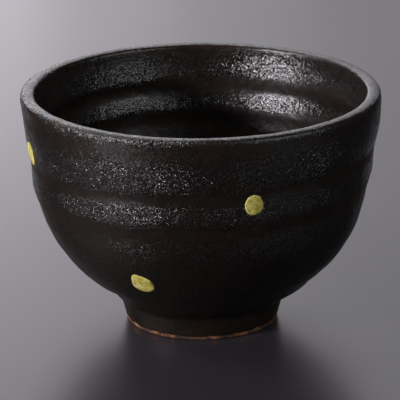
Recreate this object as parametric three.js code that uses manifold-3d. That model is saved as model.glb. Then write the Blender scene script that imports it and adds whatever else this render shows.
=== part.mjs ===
// Matcha bowl: a thrown stoneware tea bowl standing on a luted foot ring.
// The clay is dipped in one dark glaze coat that runs from the foot, over the lip and across the floor.
// Round windows are left in the coat, and each one holds a dab of yellow glaze.
// The foot's resting edge is wiped bare, so the glaze in the well under the bowl is a patch of its own.
//
// Millimetres, +Z up, origin at the middle of the foot's resting plane.
import * as THREE from "three";
import { mergeVertices } from "three/addons/utils/BufferGeometryUtils.js";
import Module from "manifold-3d";

// ---------- driving dimensions ----------
const RIM_DIAMETER = 120; // over the glaze, at the widest part of the lip
const BOWL_HEIGHT = 80;
const LIP_THICKNESS = 4.8;
const BELLY_WALL = 5.4; // wall thickness at the bottom of the side wall, glaze included
const FLOOR_THICKNESS = 6;

const FOOT_TOP_DIAMETER = 54.8; // at the crease where the bowl leaves the foot
const FOOT_REST_DIAMETER = 51; // just above the rounded resting edge
const FOOT_HEIGHT = 8.3;
const SEAT_BELOW_CREASE = 1.8; // the joint between the ring and the bowl lies this far under the crease
const FOOT_EDGE_RADIUS = 0.9;
const FOOT_RING_WIDTH = 5.6;
const FOOT_RING_TAPER = 0.6; // the ring is this much wider at its seat, on the inside

const GLAZE = 0.5;
const GLAZE_FADE = 1.8; // the coat thins to nothing over this height above the bare edge
const BARE_FOOT_HEIGHT = 1.4;

// The side wall is one cubic curve from the foot's crease to the lip.
const UNDERSIDE_ANGLE = 48.7; // degrees above the table, where the wall leaves the foot
const UNDERSIDE_PULL = 0.362; // share of the overhang that the first control point reaches out
const FLARE_ANGLE = 4.8; // degrees off plumb, at the lip
const BELLY_PULL = 0.887; // share of the wall's height that the second control point reaches down

// Throwing rings: the ridges that the fingers leave, outside and inside.
// Each set is placed by how far below the rim one ring's face is, and dies out down the wall.
const OUTER_RINGS = { belowRim: 18, pitch: 12.5, relief: 0.25, skew: 0.35 };
const INNER_RINGS = { belowRim: 18.7, pitch: 11.2, relief: 0.3, skew: 0 };
const RINGS_FADE = { from: 52, to: 36 }; // below the rim

// The tea pool: a shallow round dip in the middle of the floor.
const TEA_POOL = { diameter: 34, depth: 0.9 };

// Yellow dabs: the share of the side wall's height they sit at, their bearing round the bowl in
// degrees, and their size.
const DAB_GAP = 0.3;
const DABS = [
  { climb: 0.782, bearing: -165, diameter: 8.4 },
  { climb: 0.256, bearing: -114, diameter: 8.4 },
  { climb: 0.702, bearing: -73, diameter: 6.7 },
  { climb: 0.198, bearing: -13.5, diameter: 8 },
  { climb: 0.735, bearing: 34, diameter: 7.4 },
  { climb: 0.275, bearing: 74, diameter: 8.2 },
  { climb: 0.665, bearing: 109, diameter: 7 },
  { climb: 0.247, bearing: 147, diameter: 7.8 },
];

const SEGMENTS = 48;

// ---------- materials ----------
const finish = (color, roughness) => new THREE.MeshStandardMaterial({ color, roughness, metalness: 0 });
const darkGlaze = finish("#221b18", 0.42);
const bareClay = finish("#7a4a31", 0.9);
const yellowGlaze = finish("#c2bb58", 0.6);

// ---------- the finished outline ----------
const v2 = (r, z) => new THREE.Vector2(r, z);
const degrees = THREE.MathUtils.degToRad;
const lipRadius = LIP_THICKNESS / 2;
const lipCentre = v2(RIM_DIAMETER / 2 - lipRadius, BOWL_HEIGHT - lipRadius);
const creaseRadius = FOOT_TOP_DIAMETER / 2;
const seatHeight = FOOT_HEIGHT - SEAT_BELOW_CREASE;
const floorHeight = seatHeight + FLOOR_THICKNESS;

// How far a throwing ring pushes the surface out at a height: steep under each ridge, gentle above it.
function ringRelief(z, { belowRim, pitch, relief, skew }) {
  const turn = (2 * Math.PI * (z - BOWL_HEIGHT + belowRim)) / pitch;
  const grow = THREE.MathUtils.smoothstep(z, BOWL_HEIGHT - RINGS_FADE.from, BOWL_HEIGHT - RINGS_FADE.to);
  const lipFade = 1 - THREE.MathUtils.smoothstep(z, lipCentre.y - LIP_THICKNESS, lipCentre.y);
  return relief * grow * lipFade * (Math.sin(turn) + skew * Math.sin(2 * turn));
}

const withRings = (p, rings) => v2(p.x + ringRelief(p.y, rings), p.y);

// Points along a curve, by its length, from one share of it to another.
function along(curve, from, to, count) {
  return Array.from({ length: count }, (_, i) => curve.getPointAt(from + ((to - from) * i) / count));
}

// The foot's outer face leans out from its resting edge to the crease.
function footFace(z) {
  const climb = (z - FOOT_EDGE_RADIUS) / (FOOT_HEIGHT - FOOT_EDGE_RADIUS);
  return THREE.MathUtils.lerp(FOOT_REST_DIAMETER / 2, creaseRadius, climb);
}

function sideWallCurve() {
  const foot = v2(creaseRadius, FOOT_HEIGHT);
  const lip = v2(RIM_DIAMETER / 2, lipCentre.y);
  const reach = UNDERSIDE_PULL * (lip.x - foot.x);
  const drop = BELLY_PULL * (lip.y - foot.y);
  const leave = v2(foot.x + reach, foot.y + reach * Math.tan(degrees(UNDERSIDE_ANGLE)));
  const arrive = v2(lip.x - drop * Math.tan(degrees(FLARE_ANGLE)), lip.y - drop);
  return new THREE.CubicBezierCurve(foot, leave, arrive, lip);
}

// The inside follows the side wall at the wall's thickness, down to where the floor takes over.
function innerWallPoint(outer, share) {
  const p = outer.getPointAt(share);
  const tangent = outer.getTangentAt(share);
  const thickness = THREE.MathUtils.lerp(BELLY_WALL, LIP_THICKNESS, share);
  return v2(p.x - tangent.y * thickness, p.y + tangent.x * thickness);
}

function floorPoint(r, start, slope) {
  const share = r / start.x;
  const rise = start.y - floorHeight;
  const bowlShape = rise * share ** ((slope * start.x) / rise);
  const poolRadius = TEA_POOL.diameter / 2;
  const pool = 1 - THREE.MathUtils.smoothstep(r, poolRadius * 0.8, poolRadius * 1.05);
  return v2(r, floorHeight + bowlShape + TEA_POOL.depth * (1 - pool));
}

// From the glaze line on the foot, up the outside, over the lip, and down the inside to the axis.
function finishedOutline() {
  const glazeLine = BARE_FOOT_HEIGHT;
  const fadeEnd = glazeLine + GLAZE_FADE;
  const foot = [glazeLine, fadeEnd, seatHeight].map((z) => v2(footFace(z), z));

  const outer = sideWallCurve();
  const plain = 0.32; // share of the curve below the throwing rings
  const outside = [...along(outer, 0, plain, 5), ...along(outer, plain, 1, 17)];

  const lip = Array.from({ length: 7 }, (_, i) => {
    const turn = (Math.PI * i) / 6;
    return v2(lipCentre.x + lipRadius * Math.cos(turn), lipCentre.y + lipRadius * Math.sin(turn));
  });

  const floorMeets = 0.16; // share of the side wall where the inside leaves it for the floor
  const inside = Array.from({ length: 14 }, (_, i) =>
    innerWallPoint(outer, THREE.MathUtils.lerp(0.985, floorMeets, i / 13)),
  );
  const start = inside.at(-1);
  const before = inside.at(-2);
  const slope = (before.y - start.y) / (before.x - start.x);
  const poolTop = start.y - TEA_POOL.depth;
  const floor = [0.8, 0.62, 0.52, 0.4, 0].map((share) =>
    floorPoint(share * start.x, v2(start.x, poolTop), slope),
  );

  return {
    foot,
    rest: [
      ...outside.map((p) => withRings(p, OUTER_RINGS)),
      ...lip,
      ...inside.map((p) => withRings(p, INNER_RINGS)),
      ...floor,
    ],
  };
}

// The clay lies under the finished outline by the glaze's thickness.
// On the foot it is measured sideways, so that the clay's joint stays at the seat's height.
function clayUnder({ foot, rest }) {
  const cover = [0, GLAZE, GLAZE];
  const clayFoot = foot.map((p, i) => v2(p.x - cover[i], p.y));
  const all = [foot.at(-1), ...rest];
  const clayRest = rest.map((p, i) => {
    const before = all[i];
    const after = rest[i + 1] ?? v2(-before.x, before.y);
    const into = p.clone().sub(before).normalize();
    const away = after.clone().sub(p).normalize();
    const inward = v2(-into.y - away.y, into.x + away.x).normalize();
    const miter = GLAZE / (-into.y * inward.x + into.x * inward.y);
    return p.clone().addScaledVector(inward, miter);
  });
  clayRest.at(-1).x = 0;
  return { foot: clayFoot, rest: clayRest };
}

// ---------- solids ----------
// A profile that starts and ends on the axis, or closes on itself, turned about +Z.
function turned(profile) {
  return new THREE.LatheGeometry(profile, SEGMENTS).rotateX(Math.PI / 2);
}

const finished = finishedOutline();
const clay = clayUnder(finished);
const seat = clay.foot.at(-1);

function clayBowlProfile() {
  return [v2(0, seat.y), seat, ...clay.rest];
}

// The ring's inner face, which leans in from the resting edge up to the seat.
const ringInner = {
  rest: FOOT_REST_DIAMETER / 2 - FOOT_RING_WIDTH,
  at: (z) => ringInner.rest - FOOT_RING_TAPER * (z / seatHeight),
};

const wellGlazeLine = v2(ringInner.at(BARE_FOOT_HEIGHT), BARE_FOOT_HEIGHT);
const wellSeat = v2(ringInner.at(seatHeight), seatHeight);

function footRingProfile() {
  const edge = FOOT_EDGE_RADIUS;
  const outerEdge = [0, 30, 60, 90].map((a) =>
    v2(
      FOOT_REST_DIAMETER / 2 - edge + edge * Math.sin(degrees(a)),
      edge - edge * Math.cos(degrees(a)),
    ),
  );
  const innerEdge = v2(ringInner.at(edge), edge);
  const restInner = v2(innerEdge.x + edge, 0);
  return [restInner, ...outerEdge, ...clay.foot, wellSeat, wellGlazeLine, innerEdge, restInner];
}

function glazeCoatProfile() {
  const skin = [...finished.foot, ...finished.rest];
  const under = [...clay.foot.slice(1), ...clay.rest];
  return [...under.reverse(), ...skin];
}

function wellGlazeProfile() {
  const fadeEnd = BARE_FOOT_HEIGHT + GLAZE_FADE;
  return [
    v2(0, seatHeight - GLAZE),
    v2(wellSeat.x - GLAZE, seatHeight - GLAZE),
    v2(ringInner.at(fadeEnd) - GLAZE, fadeEnd),
    wellGlazeLine,
    wellSeat,
    v2(0, seatHeight),
  ];
}

// ---------- windows and dabs ----------
const wasm = await Module();
wasm.setup();

function solidOf(geometry) {
  const bare = new THREE.BufferGeometry().setAttribute("position", geometry.getAttribute("position"));
  if (geometry.index) bare.setIndex(geometry.index);
  const merged = mergeVertices(bare, 1e-4);
  return new wasm.Manifold(
    new wasm.Mesh({
      numProp: 3,
      vertProperties: merged.attributes.position.array,
      triVerts: new Uint32Array(merged.index.array),
    }),
  );
}

function geometryOf(solid) {
  const { vertProperties, triVerts } = solid.getMesh();
  const geometry = new THREE.BufferGeometry();
  geometry.setAttribute("position", new THREE.BufferAttribute(vertProperties, 3));
  geometry.setIndex(new THREE.BufferAttribute(triVerts, 1));
  const flat = geometry.toNonIndexed();
  flat.computeVertexNormals();
  return flat;
}

// Where a dab sits on the outside, and which way the wall faces there.
function wallAt(climb, bearing) {
  const outer = sideWallCurve();
  const height = THREE.MathUtils.lerp(FOOT_HEIGHT, lipCentre.y, climb);
  let low = 0;
  let high = 1;
  for (let i = 0; i < 40; i++) {
    const middle = (low + high) / 2;
    if (outer.getPointAt(middle).y < height) low = middle;
    else high = middle;
  }
  const p = outer.getPointAt(low);
  const tangent = outer.getTangentAt(low);
  const round = new THREE.Vector3(Math.cos(degrees(bearing)), Math.sin(degrees(bearing)), 0);
  const place = round.clone().multiplyScalar(p.x).setZ(p.y);
  const facing = round.clone().multiplyScalar(tangent.y).setZ(-tangent.x);
  return { place, facing };
}

// A round plug that goes through the coat at a dab's place, and not through the clay.
function plug(dab, diameter) {
  const { place, facing } = wallAt(dab.climb, dab.bearing);
  const length = LIP_THICKNESS;
  const cylinder = new THREE.CylinderGeometry(diameter / 2, diameter / 2, length, 24);
  const turn = new THREE.Quaternion().setFromUnitVectors(new THREE.Vector3(0, 1, 0), facing);
  cylinder.applyQuaternion(turn).translate(place.x, place.y, place.z);
  return solidOf(cylinder);
}

const wholeCoat = solidOf(turned(glazeCoatProfile()));
const window = (dab) => plug(dab, dab.diameter + 2 * DAB_GAP);
const openedCoat = DABS.reduce((coat, dab) => coat.subtract(window(dab)), wholeCoat);
const dabSolids = DABS.map((dab) => wholeCoat.intersect(plug(dab, dab.diameter)));

// ---------- the assembly ----------
function piece(name, geometry, material) {
  const mesh = new THREE.Mesh(geometry, material);
  mesh.name = name;
  return mesh;
}

const matchaBowl = new THREE.Group();
matchaBowl.add(
  piece("clay_bowl", turned(clayBowlProfile()), bareClay),
  piece("foot_ring", turned(footRingProfile()), bareClay),
  piece("dark_glaze_coat", geometryOf(openedCoat), darkGlaze),
  piece("foot_well_glaze", turned(wellGlazeProfile()), darkGlaze),
  ...dabSolids.map((solid, i) => piece(`yellow_dab_${i + 1}`, geometryOf(solid), yellowGlaze)),
);

export default matchaBowl;
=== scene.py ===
# %% [markdown]
# # A matcha bowl in iron glaze
# A tea bowl thrown in brown stoneware, on a small foot ring. It was dipped in one dark iron glaze and
# dabbed with yellow ash glaze before the firing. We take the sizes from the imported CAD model, and then
# give each piece the form and the surface that hands, glaze and kiln leave: finger ridges, a lip that
# isn't quite even, a sandy sparkle on the thick glaze and a rusty brown where it ran thin.

import math

import bpy
from mathutils import Matrix, Vector
from mathutils.geometry import interpolate_bezier


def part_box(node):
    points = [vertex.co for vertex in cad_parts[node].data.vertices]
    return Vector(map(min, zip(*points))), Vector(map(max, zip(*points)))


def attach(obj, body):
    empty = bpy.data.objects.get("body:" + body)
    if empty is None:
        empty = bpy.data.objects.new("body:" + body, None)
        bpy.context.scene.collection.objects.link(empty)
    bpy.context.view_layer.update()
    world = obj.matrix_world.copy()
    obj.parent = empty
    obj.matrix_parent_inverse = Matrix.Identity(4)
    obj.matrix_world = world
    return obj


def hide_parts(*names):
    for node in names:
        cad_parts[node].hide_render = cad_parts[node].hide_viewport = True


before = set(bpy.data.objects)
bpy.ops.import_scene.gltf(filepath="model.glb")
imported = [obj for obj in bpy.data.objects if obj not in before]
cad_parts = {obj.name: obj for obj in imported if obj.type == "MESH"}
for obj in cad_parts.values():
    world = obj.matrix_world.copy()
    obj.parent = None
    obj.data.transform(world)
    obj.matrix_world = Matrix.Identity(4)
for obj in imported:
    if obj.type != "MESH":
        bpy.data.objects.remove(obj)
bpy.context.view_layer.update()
MM = 0.001

# %% [markdown]
# ## Camera
# The bowl is seen from a little above, from nearly a metre away through a long lens, so its sides hardly
# converge. The camera stands in front (-Y) and tips down 18 degrees. It is rolled by half a degree.

# %% Camera
CAMERA_PLACE = (-0.0004, -0.9291, 0.3476)
CAMERA_TIP_DOWN = math.radians(18.27)
CAMERA_ROLL = -0.0094
bpy.ops.object.camera_add(location=CAMERA_PLACE)
camera = bpy.context.object
camera.name = "Camera"
camera.data.lens = 261.6
camera.data.sensor_width = 36
camera.data.clip_start = 0.01
aim = Matrix.Rotation(math.pi / 2 - CAMERA_TIP_DOWN, 4, "X")
camera.rotation_euler = (aim @ Matrix.Rotation(CAMERA_ROLL, 4, "Z")).to_euler()
bpy.context.scene.camera = camera
print("camera at", CAMERA_PLACE)

# %% [markdown]
# ## Helpers for modelling
# Every round piece starts as its half outline: a single point is extruded from place to place, as a
# potter's rib would follow the wall, and the outline is spun about the Z axis. The operators act on what
# is selected, so each piece is made with nothing else selected.


# %% Helpers: selecting and finishing
def start_fresh():
    """Leave nothing selected, so that an operator touches only the new piece."""
    if bpy.context.object and bpy.context.object.mode != "OBJECT":
        bpy.ops.object.mode_set(mode="OBJECT")
    bpy.ops.object.select_all(action="DESELECT")


def make_only(piece):
    start_fresh()
    piece.select_set(True)
    bpy.context.view_layer.objects.active = piece


def select_where(piece, test):
    """In edit mode: select the vertices whose place passes the test."""
    bpy.ops.mesh.select_all(action="DESELECT")
    bpy.ops.object.mode_set(mode="OBJECT")
    for vertex in piece.data.vertices:
        vertex.select = test(vertex.co)
    bpy.ops.object.mode_set(mode="EDIT")


def apply_modifiers(piece):
    make_only(piece)
    for modifier in list(piece.modifiers):
        bpy.ops.object.modifier_apply(modifier=modifier.name)


def count(piece):
    piece.data.calc_loop_triangles()
    print(f"{piece.name}: {len(piece.data.loop_triangles)} triangles")


# %% Helper: turn an outline on the wheel
def turn_on_wheel(name, outline, steps):
    """Extrude one point along the outline (radius and height in mm), then spin it round Z."""
    start_fresh()
    points = [Vector((r, 0, z)) * MM for r, z in outline]
    bpy.ops.mesh.primitive_plane_add(size=MM, location=points[0])
    piece = bpy.context.object
    piece.name = name
    bpy.ops.object.transform_apply(location=True, rotation=True, scale=True)
    bpy.ops.object.mode_set(mode="EDIT")
    bpy.ops.mesh.select_mode(type="VERT")
    bpy.ops.mesh.select_all(action="SELECT")
    bpy.ops.mesh.merge(type="CENTER")
    for here, there in zip(points, points[1:]):
        bpy.ops.mesh.extrude_region_move(TRANSFORM_OT_translate={"value": there - here})
    bpy.ops.mesh.select_all(action="SELECT")
    bpy.ops.mesh.spin(steps=steps, angle=2 * math.pi, center=(0, 0, 0), axis=(0, 0, 1))
    bpy.ops.mesh.select_all(action="SELECT")
    bpy.ops.mesh.remove_doubles(threshold=0.01 * MM)
    bpy.ops.mesh.normals_make_consistent(inside=False)
    bpy.ops.object.mode_set(mode="OBJECT")
    bpy.ops.object.shade_smooth()
    count(piece)
    return piece


# %% [markdown]
# ## The bowl's outline
# The side wall is one long curve from the crease above the foot to the lip. It could be drawn point by
# point, but a Bezier curve with two handles has no bumps of its own, so that the only bumps are the ones
# we press in later. The lip is a squared-off half circle: a potter presses it flat with a strip of wet
# leather. The inside isn't the outside moved in, because the wall is thick at the foot and the floor has
# a shallow pool for the tea, so it has points of its own with a smooth line through them.

# %% Sizes from the frame
# All in mm. The first four come from the CAD boxes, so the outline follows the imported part.
glaze_low, glaze_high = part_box("dark_glaze_coat")
RIM_RADIUS = glaze_high.x / MM
RIM_HEIGHT = glaze_high.z / MM
GLAZE_LINE = glaze_low.z / MM
SEAT_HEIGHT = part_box("foot_ring")[1].z / MM
CREASE = (27.4, 8.3)  # radius and height where the wall meets the foot
GLAZE_THICKNESS = 0.5
print("rim", RIM_RADIUS, "height", RIM_HEIGHT, "glaze line", GLAZE_LINE, "seat", SEAT_HEIGHT)


# %% Helper: a smooth step
def smooth(low, high, value):
    share = min(max((value - low) / (high - low), 0), 1)
    return share * share * (3 - 2 * share)


# %% The outline outside
LIP_RADIUS = 2.4
LEAVE_FOOT, ARRIVE_LIP = (39.2, 21.7), (54.8, 16.1)  # the two handles that bend the wall's curve


def outside_outline(count_of_points):
    """From the crease to just under the lip, along one Bezier curve."""
    lip = (RIM_RADIUS, RIM_HEIGHT - LIP_RADIUS)
    corners = [Vector((*place, 0)) for place in (CREASE, LEAVE_FOOT, ARRIVE_LIP, lip)]
    return [(p.x, p.y) for p in interpolate_bezier(*corners, count_of_points)[:-1]]


wall = outside_outline(9)
print("wall, radius and height:", [(round(r, 1), round(z, 1)) for r, z in wall])

# %% The outline over the lip
# The lip is a half circle squared off: a power of 1 keeps the circle, and less is squarer.
LIP_ROUND_OUTSIDE, LIP_ROUND_INSIDE = 0.65, 0.5
LIP_SLOPE = 0.05  # its flat top tips inwards by this much
SLOPE_START = 0.3  # from this far out on the lip, where 1 is its outer edge


def lip_outline(count_of_points):
    """Over the lip: round outside, nearly flat on top, with a tight corner inside."""
    points = []
    for i in range(count_of_points):
        turn = math.pi * i / (count_of_points - 1)
        across = math.cos(turn)
        power = LIP_ROUND_OUTSIDE if across > 0 else LIP_ROUND_INSIDE
        out = math.copysign(abs(across) ** power, across)
        dip = LIP_SLOPE * max(0, SLOPE_START - out)
        top = abs(math.sin(turn)) ** power - 1 - dip
        points.append((RIM_RADIUS + LIP_RADIUS * (out - 1), RIM_HEIGHT + LIP_RADIUS * top))
    return points


print("lip:", len(lip_outline(13)), "points")

# %% The outline inside
# Radii and heights in mm that a rib was held to, from under the lip to the middle.
INSIDE_RIB = [(55.2, 77.6), (54.2, 70), (52.8, 60), (50.9, 50), (48.1, 40), (43.4, 30), (36.9, 22)]
FLOOR_RIB = [(30.6, 18), (24.6, 15.6), (19.5, 14.3), (17.4, 13.6), (14, 12.7), (8, 12.5), (0, 12.5)]


def smoothed(points, steps):
    """A smooth line through the points, in short straight steps (Catmull-Rom)."""
    line = []
    padded = [points[0], *points, points[-1]]
    for a, b, c, d in zip(padded, padded[1:], padded[2:], padded[3:]):
        a, b, c, d = map(Vector, (a, b, c, d))
        pieces = max(2, round((c - b).length / steps))
        for i in range(pieces):
            t = i / pieces
            bend = (2 * a - 5 * b + 4 * c - d) * t * t + (3 * b - a - 3 * c + d) * t**3
            line.append(0.5 * (2 * b + (c - a) * t + bend))
    return line + [Vector(points[-1])]


def inside_outline(steps):
    return [tuple(p) for p in smoothed(INSIDE_RIB + FLOOR_RIB, steps)[1:]]


print("inside:", len(inside_outline(1.3)), "points")

# %% The outline of the foot
REST_OUTER, REST_INNER = 25.5, 19.9  # mm, the radii of the resting edge
REST_ROUND = 0.9  # mm, how round its edges are


def foot_face(z):
    """The radius of the foot's outer face at this height: it widens from the rest to the crease."""
    climbed = (z - REST_ROUND) / (CREASE[1] - REST_ROUND)
    return REST_OUTER + (CREASE[0] - REST_OUTER) * climbed


print("foot radius at the glaze line:", round(foot_face(GLAZE_LINE), 2))


# %% [markdown]
# ## Finger ridges
# A thrown wall keeps the path of the fingers that raised it: wide, low ridges that climb a little as they
# go round. Each stands out for a few millimetres and leans back to the wall's own line. They could be
# drawn by a bump map, but the outline and the bands of shine both show them, so they have to be real
# relief. The Displace modifier pushes the wall by a ramp from black to white, and the ramp lies along an
# empty. Tilting that empty by under three degrees tilts all the outer rings at once, as one pull of the
# hands; the inner ones stay level.

# %% Finger ridges: where they are
# Height in mm at the front of the bowl, and how far the wall stands out there, in mm.
OUTER_RIDGES = [
    (0, 0), (9, 0.1), (12.5, 0.75), (16.5, 0.35), (20, 0.05), (26.5, -0.15), (30, 0.08), (34, 0.4),
    (38, 0.45), (42, 0.2), (44.5, -0.05), (47, 0.05), (50, 0.42), (51.5, 0.42), (54, 0.05), (57, -0.38),
    (59, -0.55), (61, -0.38), (63.5, -0.02), (66.5, 0.14), (70, 0.06), (75, 0), (80, 0),
]
# The same inside, where they stand in towards the tea.
INNER_RIDGES = [
    (0, 0), (22, 0), (29, -0.2), (34.5, 0.3), (40, -0.2), (46, 0.2), (51.5, -0.3), (54, -0.22),
    (57, 0.4), (58.5, 0.34), (63.2, -0.34), (65.2, -0.2), (67.8, 0.4), (69.5, 0.3), (74.5, -0.12), (78, 0),
    (80, 0),
]
RIDGE_SPAN = 2.0  # mm of push between a black and a white ramp
RING_TILT = math.radians(2.6)
CALM_FROM, CALM_TO = 4.5, 1.5  # mm under the rim, where the ridges fade out towards the lip
print("pushes outside, mm:", min(p for _, p in OUTER_RIDGES), "to", max(p for _, p in OUTER_RIDGES))


# %% Finger ridges: pressed into the wall
def press_ridges(piece, ridges, inside):
    """Displace the wall by a ramp that runs up a slightly tilted axis."""
    name = "inner_ridges" if inside else "outer_ridges"
    texture = bpy.data.textures.new(name, "BLEND")
    texture.use_color_ramp = True
    texture.color_ramp.interpolation = "B_SPLINE"
    elements = texture.color_ramp.elements
    while len(elements) < len(ridges):
        elements.new(0.5)
    for element, (height, push) in zip(elements, ridges):
        element.position = height / RIM_HEIGHT
        element.color = (*[0.5 + push / RIDGE_SPAN] * 3, 1)
    bpy.ops.object.empty_add(location=(0, 0, RIM_HEIGHT / 2 * MM))
    axis = bpy.context.object
    axis.scale = [RIM_HEIGHT / 2 * MM] * 3
    axis.rotation_euler = (0, -math.pi / 2 - (0 if inside else RING_TILT), 0)
    wall_side = piece.vertex_groups.new(name=name)
    for vertex in piece.data.vertices:
        x, y, z = vertex.co
        out = vertex.normal.x * x + vertex.normal.y * y
        if z > CREASE[1] * MM and (out < 0) == inside:
            weight = 1 - smooth(RIM_HEIGHT - CALM_FROM, RIM_HEIGHT - CALM_TO, z / MM)
            wall_side.add([vertex.index], weight, "ADD")
    modifier = piece.modifiers.new(name, "DISPLACE")
    modifier.texture = texture
    modifier.texture_coords = "OBJECT"
    modifier.texture_coords_object = axis
    modifier.vertex_group = name
    modifier.strength = RIDGE_SPAN * MM
    modifier.mid_level = 0.5
    apply_modifiers(piece)
    bpy.data.objects.remove(axis)


# %% Settle: how a soft bowl leaves the wheel
# All in mm: from and to this height, how far to the right, and how far above and below the push reaches.
SETTLES = [(11.5, 14.5, 1.0, 4.2), (28, 32, 0.5, 10), (62, 72, 0.45, 12)]


def settle(piece):
    """The bowl leans a hair to the right: most just above the foot, and a little again under the lip."""
    make_only(piece)
    bpy.ops.object.mode_set(mode="EDIT")
    for low, high, shift, reach in SETTLES:
        select_where(piece, lambda co: low * MM < co.z < high * MM)
        bpy.ops.transform.translate(
            value=(shift * MM, 0, 0),
            use_proportional_edit=True,
            proportional_edit_falloff="SMOOTH",
            proportional_size=reach * MM,
        )
    bpy.ops.object.mode_set(mode="OBJECT")


def shape_wall(piece):
    press_ridges(piece, OUTER_RIDGES, inside=False)
    press_ridges(piece, INNER_RIDGES, inside=True)
    settle(piece)


# %% [markdown]
# ## The clay under the glaze
# The clay itself shows only on the foot's resting edge, but a bowl isn't an empty skin, so it is modelled
# whole, a hair under the glaze. It could be the glaze's inner face, but then a cut through the bowl would
# show one thick glass. It is turned from the same outline with fewer steps, because nobody sees it close,
# and then every point is moved in along its normal.

# %% Clay body
CLAY_SHRINK = 0.7  # mm, a little more than the glaze is thick
UNDER_SEAT = 0.3  # mm between the foot ring's top and the body's underside
clay_outline = [(0, SEAT_HEIGHT + UNDER_SEAT), (foot_face(SEAT_HEIGHT) - 0.2, SEAT_HEIGHT + UNDER_SEAT)]
clay_outline += outside_outline(48) + lip_outline(9) + inside_outline(3.2)
clay_body = turn_on_wheel("Clay_Body", clay_outline, 96)
shape_wall(clay_body)
make_only(clay_body)
bpy.ops.object.mode_set(mode="EDIT")
bpy.ops.mesh.select_all(action="SELECT")
bpy.ops.transform.shrink_fatten(value=-CLAY_SHRINK * MM)
bpy.ops.object.mode_set(mode="OBJECT")
clay_low, clay_high = clay_body.bound_box[0], clay_body.bound_box[6]
print("clay body from", [round(c / MM, 1) for c in clay_low], "to", [round(c / MM, 1) for c in clay_high])

# %% [markdown]
# ## The glaze coat
# The coat is one skin of glass, half a millimetre thick, over the wall, the lip and the whole inside. It
# could be a closed outline with an inner and an outer line, but then both lines would have to follow every
# ridge. Instead one skin is turned, pressed and settled, and the Solidify modifier gives it its thickness
# inwards. Its outline starts at the wiped edge of the foot, where the glaze stops in a small rounded bead.
# Two Displace modifiers with cloud textures add the low lumps of hand-made clay and a fine ripple.

# %% Glaze coat: skin
bead = [(foot_face(GLAZE_LINE) - 0.25, GLAZE_LINE), (foot_face(GLAZE_LINE) + 0.04, GLAZE_LINE + 0.1)]
bead += [(foot_face(z) + 0.1, z) for z in (1.9, 2.6, 3.4, 4.6, 5.8, 7)]
coat_outline = bead + outside_outline(72) + lip_outline(13) + inside_outline(1.3)
glaze_coat = turn_on_wheel("Glaze_Coat", coat_outline, 288)
shape_wall(glaze_coat)
print("glaze skin pressed and settled")


# %% Glaze coat: lumps
def add_lumps(piece, name, size, height, group=""):
    """Push the surface in and out by clouds of this size (all in mm)."""
    texture = bpy.data.textures.new(name, "CLOUDS")
    texture.noise_scale = size * MM
    texture.noise_depth = 1
    modifier = piece.modifiers.new(name, "DISPLACE")
    modifier.texture = texture
    modifier.strength = height * MM
    modifier.mid_level = 0.5
    modifier.vertex_group = group


add_lumps(glaze_coat, "hand_lumps", 16, 0.3)
add_lumps(glaze_coat, "glaze_ripple", 3.2, 0.2)
apply_modifiers(glaze_coat)
thickness = glaze_coat.modifiers.new("glaze_thickness", "SOLIDIFY")
thickness.thickness = GLAZE_THICKNESS * MM
thickness.offset = -1
apply_modifiers(glaze_coat)
bpy.ops.object.shade_smooth()
count(glaze_coat)

# %% [markdown]
# ## The foot ring
# The ring was trimmed from the same clay when the bowl was leather-hard. Its resting edge is rounded on
# both sides, because a sharp edge would chip, and it was wiped bare so that it doesn't stick to the kiln
# shelf. A Bevel modifier could round it, but the edge is part of a turned outline, so the rounding is
# drawn in that outline: two quarter circles with a flat between them. Above the bare edge the ring goes
# a little under the glaze. A vertex group keeps the lumps off the very bottom, so the bowl stands flat.

# %% Foot ring
quarter = [math.radians(a) for a in (0, 15, 30, 45, 60, 75, 90)]
rounding = [(REST_ROUND * math.sin(a), REST_ROUND - REST_ROUND * math.cos(a)) for a in quarter]
ring_outline = [(REST_INNER + REST_ROUND - r, z) for r, z in rounding][::-1]
ring_outline += [(REST_INNER + 2, 0), (REST_OUTER - 2, 0)]
ring_outline += [(REST_OUTER - REST_ROUND + r, z) for r, z in rounding]
ring_outline += [(foot_face(z) - 0.02, z) for z in (1.2, 1.6, 2.1, 2.6)]
ring_outline += [(foot_face(z) - 0.45, z) for z in (3.2, 4.6, 6.5)]
ring_outline += [(19.3 + 0.092 * (6.5 - z), z) for z in (6.5, 5, 3.5, 2.4, 1.9, 1.4)]
ring_outline.append(ring_outline[0])
foot_ring = turn_on_wheel("Foot_Ring", ring_outline, 240)
resting = foot_ring.vertex_groups.new(name="above_the_rest")
resting.add([v.index for v in foot_ring.data.vertices if v.co.z > 0.3 * MM], 1, "ADD")
add_lumps(foot_ring, "clay_grain", 2.2, 0.2, "above_the_rest")
apply_modifiers(foot_ring)
print("the foot rests at", round(min(v.co.z for v in foot_ring.data.vertices) / MM, 3), "mm")

# %% [markdown]
# ## The well under the bowl
# Inside the foot ring the trimming tool leaves a low cone in the middle and a round corner at the ring.
# The glaze lies over it in a patch of its own, which the bare edge cuts off from the rest of the coat.
# The patch is turned as a closed outline: its lower line is what is seen from below, and its upper line
# lies against the clay.

# %% Glaze in the foot well
well_skin = [(0, 5.1), (2, 5.45), (5, 5.8), (10, 5.95), (15, 5.95), (17.2, 5.7), (18.4, 5.0), (19.0, 3.9)]
well_skin = [tuple(p) for p in smoothed(well_skin + [(19.45, 2.4), (19.75, 2.0)], 1.2)]
well_back = [(19.68, 2.3), (19.5, 4), (19.25, 6.45), (0, 6.45)]
well_glaze = turn_on_wheel("Well_Glaze", well_skin + well_back, 160)
add_lumps(well_glaze, "well_ripple", 4, 0.16)
apply_modifiers(well_glaze)
print("well glaze up to", round(max(v.co.z for v in well_glaze.data.vertices) / MM, 1), "mm")

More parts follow.
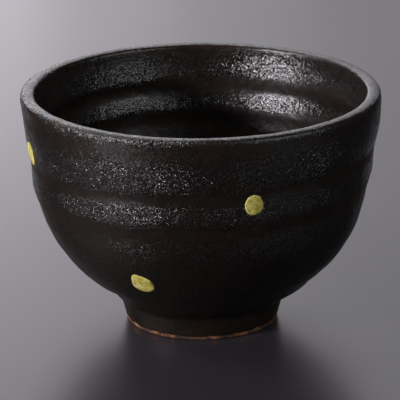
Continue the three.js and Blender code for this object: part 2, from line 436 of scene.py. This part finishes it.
# %% [markdown]
# ## The yellow dabs
# Each dab was laid on with a brush tip loaded with ash glaze. It stands slightly proud, with a soft domed
# top, and no two have quite the same outline. A dab could be a spot of colour in the dark glaze's own
# material, but it has an edge that catches the light, so it is a piece. A disc of rings is laid on the
# wall with the Shrinkwrap modifier, its middle is raised with proportional editing, and Solidify gives it
# a back that sits in the dark coat. One corner may be pulled out, where the brush left the wall.

# %% Dab sizes and places
# The CAD node, the diameter in mm, the stretch across and up, and how far one corner is pulled, in mm.
DABS = [
    ("yellow_dab_1", 8.2, 1.0, 1.0, 0.0),
    ("yellow_dab_2", 8.2, 0.98, 1.05, 1.0),
    ("yellow_dab_3", 6.5, 0.97, 1.03, 0.0),
    ("yellow_dab_4", 8.0, 1.02, 0.96, 0.3),
    ("yellow_dab_5", 7.2, 1.05, 0.95, 0.2),
    ("yellow_dab_6", 8.0, 0.95, 1.06, 0.8),
    ("yellow_dab_7", 6.8, 1.0, 0.98, 0.0),
    ("yellow_dab_8", 7.6, 1.04, 0.97, 0.5),
]


def dab_place(replaced):
    """The middle of a dab and the way it faces: out from the axis, and tipped as the wall is there."""
    low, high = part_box(replaced)
    middle = (low + high) / 2
    outwards = Vector((middle.x, middle.y, 0)).normalized()
    _, place, normal, _ = glaze_coat.ray_cast(middle + outwards * 30 * MM, -outwards)
    return place, normal


print(len(DABS), "dabs, the first at", [round(c / MM, 1) for c in dab_place(DABS[0][0])[0]])

# %% One dab: the disc
INSETS = 7  # rings of faces, so that the disc can bend and dome


def cut_disc(replaced, diameter, across, up, corner):
    """A flat disc in front of its place on the wall, facing out."""
    place, normal = dab_place(replaced)
    start_fresh()
    bpy.ops.mesh.primitive_circle_add(vertices=40, radius=diameter / 2 * MM, fill_type="NGON")
    dab = bpy.context.object
    dab.name = replaced.replace("yellow_dab", "Yellow_Dab")
    bpy.ops.object.mode_set(mode="EDIT")
    bpy.ops.mesh.select_mode(type="FACE")
    bpy.ops.mesh.select_all(action="SELECT")
    for _ in range(INSETS):
        bpy.ops.mesh.inset(thickness=diameter / 17 * MM)
    bpy.ops.mesh.poke()
    bpy.ops.mesh.select_mode(type="VERT")
    bpy.ops.mesh.select_all(action="SELECT")
    bpy.ops.transform.resize(value=(across, up, 1), center_override=(0, 0, 0))
    if corner:
        pull = Vector((-0.5, 0.85, 0)) * diameter / 2 * MM
        select_where(dab, lambda co: (co - pull).length < 0.9 * MM)
        bpy.ops.transform.translate(
            value=pull.normalized() * corner * MM,
            use_proportional_edit=True,
            proportional_edit_falloff="SMOOTH",
            proportional_size=diameter * 0.35 * MM,
        )
    bpy.ops.object.mode_set(mode="OBJECT")
    facing = normal.to_track_quat("Z", "Y").to_matrix().to_4x4()
    dab.matrix_world = Matrix.Translation(place + normal * 2 * MM) @ facing
    bpy.ops.object.transform_apply(location=True, rotation=True, scale=True)
    return dab


print("each disc has", INSETS, "rings inside its edge")

# %% One dab: laid on the wall and domed
SKIN_GAP = 0.06  # mm between the dark glaze and the dab's edge
DOME = 0.32  # mm, how far its middle stands up
DAB_THICKNESS = 0.45


def lay_on_wall(dab):
    wrap = dab.modifiers.new("lie_on_the_wall", "SHRINKWRAP")
    wrap.target = glaze_coat
    wrap.wrap_method = "NEAREST_SURFACEPOINT"
    wrap.offset = SKIN_GAP * MM
    apply_modifiers(dab)


def raise_middle(dab, replaced, diameter):
    place, normal = dab_place(replaced)
    middle = min(dab.data.vertices, key=lambda v: (v.co - place).length).co.copy()
    bpy.ops.object.mode_set(mode="EDIT")
    select_where(dab, lambda co: (co - middle).length < 0.2 * MM)
    bpy.ops.transform.translate(
        value=normal * DOME * MM,
        use_proportional_edit=True,
        proportional_edit_falloff="SPHERE",
        proportional_size=diameter * 0.52 * MM,
    )
    bpy.ops.object.mode_set(mode="OBJECT")


def give_back(dab, replaced):
    add_lumps(dab, replaced + "_ripple", 1.6, 0.09)
    back = dab.modifiers.new("back", "SOLIDIFY")
    back.thickness = DAB_THICKNESS * MM
    back.offset = -1
    apply_modifiers(dab)
    bpy.ops.object.shade_smooth()


print("a dab stands", SKIN_GAP + DOME, "mm proud")

# %% All the dabs
dabs = []
for replaced, diameter, *shape in DABS:
    dab = cut_disc(replaced, diameter, *shape)
    lay_on_wall(dab)
    raise_middle(dab, replaced, diameter)
    give_back(dab, replaced)
    dabs.append((dab, replaced))
print(len(dabs), "dabs laid")

# %% [markdown]
# ## Helpers for materials
# Every finish is built from nodes that read Object coordinates, so a pattern keeps its real size in
# millimetres and stays put on its piece. A picture could be wrapped round the bowl instead, but it would
# stretch at the foot and show a seam. One helper adds any node: it takes the node's own settings, what
# feeds its sockets, and, for a colour ramp, its stops.


# %% Helpers: colours and nodes
def srgb(code):
    """A hex colour as people pick it on screen, turned to the linear values that light works in."""
    parts = [int(code[i : i + 2], 16) / 255 for i in (1, 3, 5)]
    linear = [p / 12.92 if p <= 0.04045 else ((p + 0.055) / 1.055) ** 2.4 for p in parts]
    return (*linear, 1)


def node(material, kind, settings=None, links=None, stops=()):
    """Add one node. A link comes from a socket, or from a node's first output."""
    made = material.node_tree.nodes.new(kind)
    for key, value in (settings or {}).items():
        if isinstance(key, str) and hasattr(made, key):
            setattr(made, key, value)
        else:
            made.inputs[key].default_value = value
    for key, source in (links or {}).items():
        socket = source.outputs[0] if hasattr(source, "outputs") else source
        material.node_tree.links.new(socket, made.inputs[key])
    for index, (position, value) in enumerate(stops):
        elements = made.color_ramp.elements
        element = elements[index] if index < 2 else elements.new(position)
        element.position = position
        element.color = srgb(value) if isinstance(value, str) else (value, value, value, 1)
    return made


def new_material(name):
    """An empty material, and the place on the object that its patterns start from."""
    material = bpy.data.materials.new(name)
    material.use_nodes = True
    material.node_tree.nodes.clear()
    return material, node(material, "ShaderNodeTexCoord").outputs["Object"]


print("one helper adds every node")

# %% [markdown]
# ## Iron glaze
# The dark coat is an iron glaze, saturated until crystals of iron oxide grew in it as it cooled. Where it
# stands thick it is blue-black, and its surface is a sand of tiny flat crystals, each turned its own way:
# a few catch the light and flash, and the ones around them stay black. Where it ran off a ridge it is
# thin, brown and nearly matte. So one mask, by height along the ridges, says how much crystal there is,
# another says how much rust, and roughness, tilt and colour all follow them. The crystal mask's bands lie
# where the light catches the ridges, so its blue-grey grains in the colour are partly the crystals' own
# colour and partly painted sparkle. The masks could be painted on a map, but a height along the wall
# follows the same ridges that the wall was pressed with.

# %% Iron glaze: where it is thick and where it is thin
# Height in mm, and how much crystal or rust stands there, from 0 to 1. The crystal bands lie where the
# light catches and fall away where shade lies, so they also place painted sparkle in the colour.
CRYSTAL_AND_GLINT_OUTSIDE = [
    (0, 0.05), (30, 0.1), (37, 0.4), (43, 0.45), (46, 0.12), (49, 0.15), (51, 0.65), (56.5, 0.75),
    (58.4, 0.15), (59.5, 0.04), (60.6, 0.15), (62, 0.85), (65, 1), (71, 0.75), (75, 0.3), (77.5, 0.3),
    (79, 0.65), (80, 0.8),
]
CRYSTAL_AND_GLINT_INSIDE = [
    (0, 0.5), (25, 0.45), (36, 0.3), (44, 0.1), (48, 0.2), (50.5, 0.2), (53, 0.1), (57, 0.15), (58.5, 0.9),
    (61.5, 0.95), (64, 0.15), (67, 0.2), (69.5, 0.95), (75, 0.8), (78, 0.45), (80, 0.8),
]
RUST_OUTSIDE = [
    (0, 0.95), (5, 0.75), (9, 0.45), (20, 0.3), (36, 0.3), (44, 0.45), (47.5, 0.95), (50, 0.4), (57, 0.35),
    (60, 0.9), (62, 0.35), (70, 0.3), (75, 0.65), (78, 0.6), (79.2, 0.85), (80, 0.8),
]
RUST_INSIDE = [
    (0, 0.5), (45, 0.9), (51, 0.9), (55, 0.6), (59, 0.3), (62, 0.25), (66.5, 0.8), (69, 0.3), (77, 0.4),
    (79, 0.85), (80, 0.8),
]


def by_height(stops):
    return [(height / RIM_HEIGHT, value) for height, value in stops]


print("stops outside:", len(CRYSTAL_AND_GLINT_OUTSIDE), "for crystal and", len(RUST_OUTSIDE), "for rust")

# %% Iron glaze: the height along the leaning ridges
# It runs from 0 at the foot to 1 at the rim, with a little wander, so that no band has a ruled edge.
RING_LEAN = -0.045  # the ridges climb to the left by this much per mm
WANDER = 5  # mm
glaze, place = new_material("iron_glaze_satin")
split = node(glaze, "ShaderNodeSeparateXYZ", {}, {0: place})
leaning = {"operation": "MULTIPLY_ADD", 1: RING_LEAN}
climb = node(glaze, "ShaderNodeMath", leaning, {0: split.outputs["X"], 2: split.outputs["Z"]})
drift = node(glaze, "ShaderNodeTexNoise", {"Scale": 55, "Detail": 2}, {"Vector": place})
wander = node(glaze, "ShaderNodeMath", {"operation": "MULTIPLY_ADD", 1: WANDER * MM}, {0: drift, 2: climb})
foot_to_rim = {"From Min": WANDER / 2 * MM, "From Max": (RIM_HEIGHT + WANDER / 2) * MM}
level = node(glaze, "ShaderNodeMapRange", foot_to_rim, {"Value": wander})
print("the bands lean by", round(RING_LEAN * 2 * RIM_RADIUS, 1), "mm across the bowl")

# %% Iron glaze: which side of the wall
# On the outside the surface faces away from the axis. The lip is where the two sides blend.
facing = node(glaze, "ShaderNodeNewGeometry").outputs["Normal"]
flat = node(glaze, "ShaderNodeVectorMath", {"operation": "MULTIPLY", 1: (1, 1, 0)}, {0: place})
away = node(glaze, "ShaderNodeVectorMath", {"operation": "NORMALIZE"}, {0: flat})
along = node(glaze, "ShaderNodeVectorMath", {"operation": "DOT_PRODUCT"}, {0: facing, 1: away})
both_sides = {"From Min": -0.12, "From Max": 0.12}
outside = node(glaze, "ShaderNodeMapRange", both_sides, {"Value": along.outputs["Value"]})
print("sides told apart")

# %% Iron glaze: how much crystal and how much rust
# Each goes by height on each side, and is broken up into patches.
# The crystal mask also says where the colour gets its painted sparkle grains.
crystal_and_glint_out = node(glaze, "ShaderNodeValToRGB", {}, {"Fac": level}, by_height(CRYSTAL_AND_GLINT_OUTSIDE))
crystal_and_glint_in = node(glaze, "ShaderNodeValToRGB", {}, {"Fac": level}, by_height(CRYSTAL_AND_GLINT_INSIDE))
crystal_and_glint = node(glaze, "ShaderNodeMix", {"data_type": "FLOAT"}, {0: outside, 2: crystal_and_glint_in, 3: crystal_and_glint_out})
patches = node(glaze, "ShaderNodeTexNoise", {"Scale": 60, "Detail": 3}, {"Vector": place})
patchy = node(glaze, "ShaderNodeValToRGB", {}, {"Fac": patches}, [(0.34, 0.5), (0.62, 1)])
crystal_and_glint = node(glaze, "ShaderNodeMath", {"operation": "MULTIPLY"}, {0: crystal_and_glint, 1: patchy})
rust_out = node(glaze, "ShaderNodeValToRGB", {}, {"Fac": level}, by_height(RUST_OUTSIDE))
rust_in = node(glaze, "ShaderNodeValToRGB", {}, {"Fac": level}, by_height(RUST_INSIDE))
rust = node(glaze, "ShaderNodeMix", {"data_type": "FLOAT"}, {0: outside, 2: rust_in, 3: rust_out})
mottle = node(glaze, "ShaderNodeTexNoise", {"Scale": 140, "Detail": 4, "Roughness": 0.6}, {"Vector": place})
mottled = node(glaze, "ShaderNodeValToRGB", {}, {"Fac": mottle}, [(0.35, 0.25), (0.65, 1)])
rust = node(glaze, "ShaderNodeMath", {"operation": "MULTIPLY"}, {0: rust, 1: mottled})
print("two masks, crystal and rust")

# %% Iron glaze: colour
# Brown-black, going rusty where the coat is thin, with blue-grey grains where it is thick: partly the
# crystals' own colour, and partly painted sparkle laid in the bands where the light catches.
GRIT_SIZE = 0.5  # mm
IRON_BROWNS = [(0, "#0e0a07"), (0.45, "#15100b"), (0.8, "#1e140d"), (1, "#2b1d13")]
CRYSTAL_AND_GLINT_BLUE = "#2a2d34"
fine = {"Scale": 0.5 / (GRIT_SIZE * MM), "Detail": 3, "Roughness": 0.62}
grit = node(glaze, "ShaderNodeTexNoise", fine, {"Vector": place})
body = node(glaze, "ShaderNodeValToRGB", {}, {"Fac": rust}, IRON_BROWNS)
# Painted sparkle: lighter blue-grey grains, partly the crystals' own colour, only where the crystal mask is.
crystal_and_glint_grains = node(glaze, "ShaderNodeValToRGB", {}, {"Fac": grit}, [(0.52, 0), (0.7, 0.8)])
crystal_and_glint_grains = node(glaze, "ShaderNodeMath", {"operation": "MULTIPLY"}, {0: crystal_and_glint_grains, 1: crystal_and_glint})
tinted = {"data_type": "RGBA", 7: srgb(CRYSTAL_AND_GLINT_BLUE)}
colour = node(glaze, "ShaderNodeMix", tinted, {0: crystal_and_glint_grains, 6: body})
print("browns:", [code for _, code in IRON_BROWNS], "and", CRYSTAL_AND_GLINT_BLUE)

# %% [markdown]
# ## The glaze's relief
# Three scales of relief lie on the coat. A soft orange peel and a fine grit are bumps. The crystals are
# not: a bump makes round dimples, and a crystal is a flat that leans. So the normal itself is turned by a
# random lean, from a fine noise that runs in threads, as crystals grow, and a smaller part from cells that
# each lean as one, which gives the hard little flashes. The lean is greatest where the crystal mask is.

# %% Iron glaze: peel and grit
PEEL_SIZE = 3.0  # mm
peel = node(glaze, "ShaderNodeTexNoise", {"Scale": 1 / (PEEL_SIZE * MM), "Detail": 1}, {"Vector": place})
peeled = node(glaze, "ShaderNodeBump", {"Strength": 0.5, "Distance": 0.3 * MM}, {"Height": peel})
gritty = node(glaze, "ShaderNodeMath", {"operation": "MULTIPLY"}, {0: grit, 1: crystal_and_glint})
grit_bump = {"Strength": 1, "Distance": 0.25 * MM}
gritted = node(glaze, "ShaderNodeBump", grit_bump, {"Height": gritty, "Normal": peeled})
print("peel", PEEL_SIZE, "mm and grit", GRIT_SIZE, "mm")

# %% Iron glaze: leaning crystals
# The real crystals are finer than these sizes, and are drawn as coarse as they need to show.
THREAD_SIZE, FLAKE_SIZE = 0.55, 0.34  # mm
FLAKE_SHARE = 0.22  # of the lean comes from the flakes
LEAN_OUTSIDE, LEAN_INSIDE = 3.4, 1.45  # how far the crystals lean over, for a full mask
LEAN_LEAST = 0.1  # for an empty mask
tangled = {"Scale": 1 / (THREAD_SIZE * MM), "Detail": 3, "Roughness": 0.8}
threads = node(glaze, "ShaderNodeTexNoise", tangled, {"Vector": place}).outputs["Color"]
centred = {"operation": "SUBTRACT", 1: (0.5, 0.5, 0.5)}
tilt = node(glaze, "ShaderNodeVectorMath", centred, {0: threads})
most = node(glaze, "ShaderNodeMix", {"data_type": "FLOAT", 2: LEAN_INSIDE, 3: LEAN_OUTSIDE}, {0: outside})
cells = node(glaze, "ShaderNodeTexVoronoi", {"Scale": 1 / (FLAKE_SIZE * MM)}, {"Vector": place})
flakes = node(glaze, "ShaderNodeVectorMath", centred, {0: cells.outputs["Color"]})
share = {"operation": "MULTIPLY_ADD", 1: (FLAKE_SHARE, FLAKE_SHARE, FLAKE_SHARE)}
tilt = node(glaze, "ShaderNodeVectorMath", share, {0: flakes, 2: tilt})
lean = node(glaze, "ShaderNodeMapRange", {"To Min": LEAN_LEAST}, {"Value": crystal_and_glint, "To Max": most})
tilt = node(glaze, "ShaderNodeVectorMath", {"operation": "SCALE"}, {0: tilt, "Scale": lean})
turned = node(glaze, "ShaderNodeVectorMath", {"operation": "ADD"}, {0: gritted, 1: tilt})
turned = node(glaze, "ShaderNodeVectorMath", {"operation": "NORMALIZE"}, {0: turned})
print("threads", THREAD_SIZE, "mm and flakes", FLAKE_SIZE, "mm")

# %% Iron glaze: gloss
# A crystal face is smooth. Between the crystals the glaze is satin, and where it is thin and rusty it is
# dry and full of pores, so it is both rougher and weaker in its shine.
ROUGH_THIN, ROUGH_DRY, ROUGH_CRYSTAL = 0.38, 0.5, 0.13
GLOSS_THIN, GLOSS_DRY, GLOSS_CRYSTAL = 0.38, 0.1, 0.55
thin = node(glaze, "ShaderNodeMapRange", {"To Min": ROUGH_THIN, "To Max": ROUGH_DRY}, {"Value": rust})
rough = node(glaze, "ShaderNodeMapRange", {"To Max": ROUGH_CRYSTAL}, {"Value": crystal_and_glint, "To Min": thin})
gloss = node(glaze, "ShaderNodeMapRange", {"To Min": GLOSS_THIN, "To Max": GLOSS_DRY}, {"Value": rust})
gloss = node(glaze, "ShaderNodeMapRange", {"To Max": GLOSS_CRYSTAL}, {"Value": crystal_and_glint, "To Min": gloss})
finish = {"Base Color": colour.outputs[2], "Roughness": rough, "Specular IOR Level": gloss, "Normal": turned}
surface = node(glaze, "ShaderNodeBsdfPrincipled", {"IOR": 1.5}, finish)
node(glaze, "ShaderNodeOutputMaterial", {}, {"Surface": surface})
print("made", glaze.name, "with", len(glaze.node_tree.nodes), "nodes")

# %% [markdown]
# ## Bare stoneware
# The foot's resting edge shows the clay: an iron-rich stoneware, toasted brown in the kiln, with a fine
# sandy tooth. It is quite matte, and clouded from near black to tan, as the kiln and the glaze's edge
# stained it. Two noises are enough for it: a slow one for the clouds, and a fine one for the sand, which
# is also its relief.

# %% Bare stoneware
SAND = 0.35  # mm
CLAY_COLOURS = [(0.5, "#1c0f09"), (0.68, "#3a2214"), (0.84, "#8a5c38"), (0.95, "#b98a62")]
stoneware, place = new_material("bare_stoneware")
cloud = node(stoneware, "ShaderNodeTexNoise", {"Scale": 180, "Detail": 4}, {"Vector": place})
sand = node(stoneware, "ShaderNodeTexNoise", {"Scale": 0.5 / (SAND * MM), "Detail": 2}, {"Vector": place})
both = node(stoneware, "ShaderNodeMath", {"operation": "MULTIPLY_ADD", 1: 0.4}, {0: sand, 2: cloud})
colour = node(stoneware, "ShaderNodeValToRGB", {}, {"Fac": both}, CLAY_COLOURS)
bump = node(stoneware, "ShaderNodeBump", {"Strength": 0.7, "Distance": 0.15 * MM}, {"Height": sand})
finish = {"Base Color": colour, "Normal": bump}
surface = node(stoneware, "ShaderNodeBsdfPrincipled", {"Roughness": 0.85}, finish)
node(stoneware, "ShaderNodeOutputMaterial", {}, {"Surface": surface})
print("made", stoneware.name, "with", len(CLAY_COLOURS), "clay colours")

# %% [markdown]
# ## Yellow ash glaze
# The dabs are an ash glaze, opaque and mustard yellow. It crawled a little as it melted, so iron specks
# from the coat below come up through it, and paler curds float in it. It is satin rather than glassy.
# The specks are multiplied over the yellow instead of mixed in, so that they darken it as a stain does.

# %% Yellow ash glaze
CURD, SPECK = 1.2, 0.4  # mm
YELLOWS = [(0.3, "#a1973b"), (0.5, "#bab157"), (0.7, "#cfc986")]
IRON_STAIN, STAINED = "#6b6430", 0.6  # the stain's colour and its share
ash_glaze, place = new_material("yellow_ash_glaze")
curds = node(ash_glaze, "ShaderNodeTexNoise", {"Scale": 0.5 / (CURD * MM), "Detail": 3}, {"Vector": place})
colour = node(ash_glaze, "ShaderNodeValToRGB", {}, {"Fac": curds}, YELLOWS)
specks = node(ash_glaze, "ShaderNodeTexNoise", {"Scale": 0.5 / (SPECK * MM), "Detail": 2}, {"Vector": place})
iron = node(ash_glaze, "ShaderNodeValToRGB", {}, {"Fac": specks}, [(0.36, IRON_STAIN), (0.46, "#ffffff")])
stain = {"data_type": "RGBA", "blend_type": "MULTIPLY", 0: STAINED}
speckled = node(ash_glaze, "ShaderNodeMix", stain, {6: colour, 7: iron})
bump = node(ash_glaze, "ShaderNodeBump", {"Strength": 0.5, "Distance": 0.15 * MM}, {"Height": specks})
finish = {"Base Color": speckled.outputs[2], "Normal": bump}
surface = node(ash_glaze, "ShaderNodeBsdfPrincipled", {"Roughness": 0.5}, finish)
node(ash_glaze, "ShaderNodeOutputMaterial", {}, {"Surface": surface})
print("made", ash_glaze.name, "with curds of", CURD, "mm and specks of", SPECK, "mm")

# %% [markdown]
# ## Dress the pieces and put them on the frame
# A bowl has no joints, so every piece rides on the one body. Each takes the place of the solid it was
# modelled from. One helper says all of it for each piece, so that no piece can be dressed and then
# forgotten.


# %% Materials, slots and bodies
def dress(piece, material, replaced):
    piece.data.materials.clear()
    piece.data.materials.append(material)
    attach(piece, "root")
    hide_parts(replaced)


dress(clay_body, stoneware, "clay_bowl")
dress(foot_ring, stoneware, "foot_ring")
dress(glaze_coat, glaze, "dark_glaze_coat")
dress(well_glaze, glaze, "foot_well_glaze")
for dab, replaced in dabs:
    dress(dab, ash_glaze, replaced)
print("dressed", 4 + len(dabs), "pieces")

# %% [markdown]
# ## Studio
# A black glaze shows its form only by what it reflects, so the sizes and places of the lights matter more
# than their power, and each has one job. The bowl stands on a dark table with a sheen. One small, strong
# light low to the left makes the crystals flash. A wide panel behind lies mirrored in the table, and three
# smaller ones in front of it, to its left, step its brightness down towards the right, as in a room whose
# window is on that side. A panel above and behind edges the lip, and two soft ones lift the left and the
# right side. Point lights would be simpler, but a smooth glaze would show them as dots.

# %% Table
start_fresh()
bpy.ops.mesh.primitive_plane_add(size=5, location=(0, 0, 0))
table = bpy.context.object
table.name = "Studio_Table"
lacquer, _ = new_material("grey_table_lacquer")
sheen = {"Base Color": srgb("#2c2a2e"), "Roughness": 0.3}
surface = node(lacquer, "ShaderNodeBsdfPrincipled", sheen)
node(lacquer, "ShaderNodeOutputMaterial", {}, {"Surface": surface})
table.data.materials.append(lacquer)
print("table laid:", lacquer.name)


# %% A flat light that faces the bowl
AIM_HEIGHT = 0.05  # in metres, about the middle of the bowl


def softbox(name, bearing, elevation, distance, size, radiance, colour="#ffffff"):
    """Bearing and elevation in degrees, 0 to the right and 90 behind. Distance and size in metres."""
    b, e = math.radians(bearing), math.radians(elevation)
    place = Vector((math.cos(b) * math.cos(e), math.sin(b) * math.cos(e), math.sin(e))) * distance
    bpy.ops.object.light_add(type="AREA", location=place + Vector((0, 0, AIM_HEIGHT)))
    light = bpy.context.object
    light.name = name
    light.data.shape = "RECTANGLE"
    light.data.size, light.data.size_y = size
    light.data.energy = radiance * math.pi * size[0] * size[1]
    light.data.color = srgb(colour)[:3]
    light.rotation_euler = place.to_track_quat("Z", "Y").to_euler()
    light.visible_camera = False


# %% Lights
KEY_RADIANCE = 205  # the panels are near 1
softbox("Key_Left", -148, 15, 1.0, (0.2, 0.1), KEY_RADIANCE, "#fff7ff")
softbox("Panel_Behind", 92, 16.5, 1.5, (1.6, 0.62), 1.05, "#fbf7ff")
softbox("Panel_Behind_Low", 106.2, 8, 1.5, (0.59, 0.32), 1.2, "#fbf7ff")
softbox("Panel_Behind_Mid", 104, 10, 1.5, (0.7, 0.42), 0.55, "#fbf7ff")
softbox("Panel_Behind_High", 101.7, 12, 1.5, (0.81, 0.52), 0.35, "#fbf7ff")
softbox("Panel_Above", 102, 46, 1.3, (0.9, 0.7), 2.1)
softbox("Fill_Left", 178, 42, 1.2, (0.5, 0.45), 8)
softbox("Fill_Right", -35, 25, 1.3, (0.9, 0.6), 3.2)

# %% The room's own light
world = bpy.data.worlds.new("Studio_Air")
world.use_nodes = True
world.node_tree.nodes["Background"].inputs["Color"].default_value = srgb("#c8c8d0")
world.node_tree.nodes["Background"].inputs["Strength"].default_value = 0.08
bpy.context.scene.world = world
bpy.context.scene.view_settings.view_transform = "Standard"
print("air:", world.name)
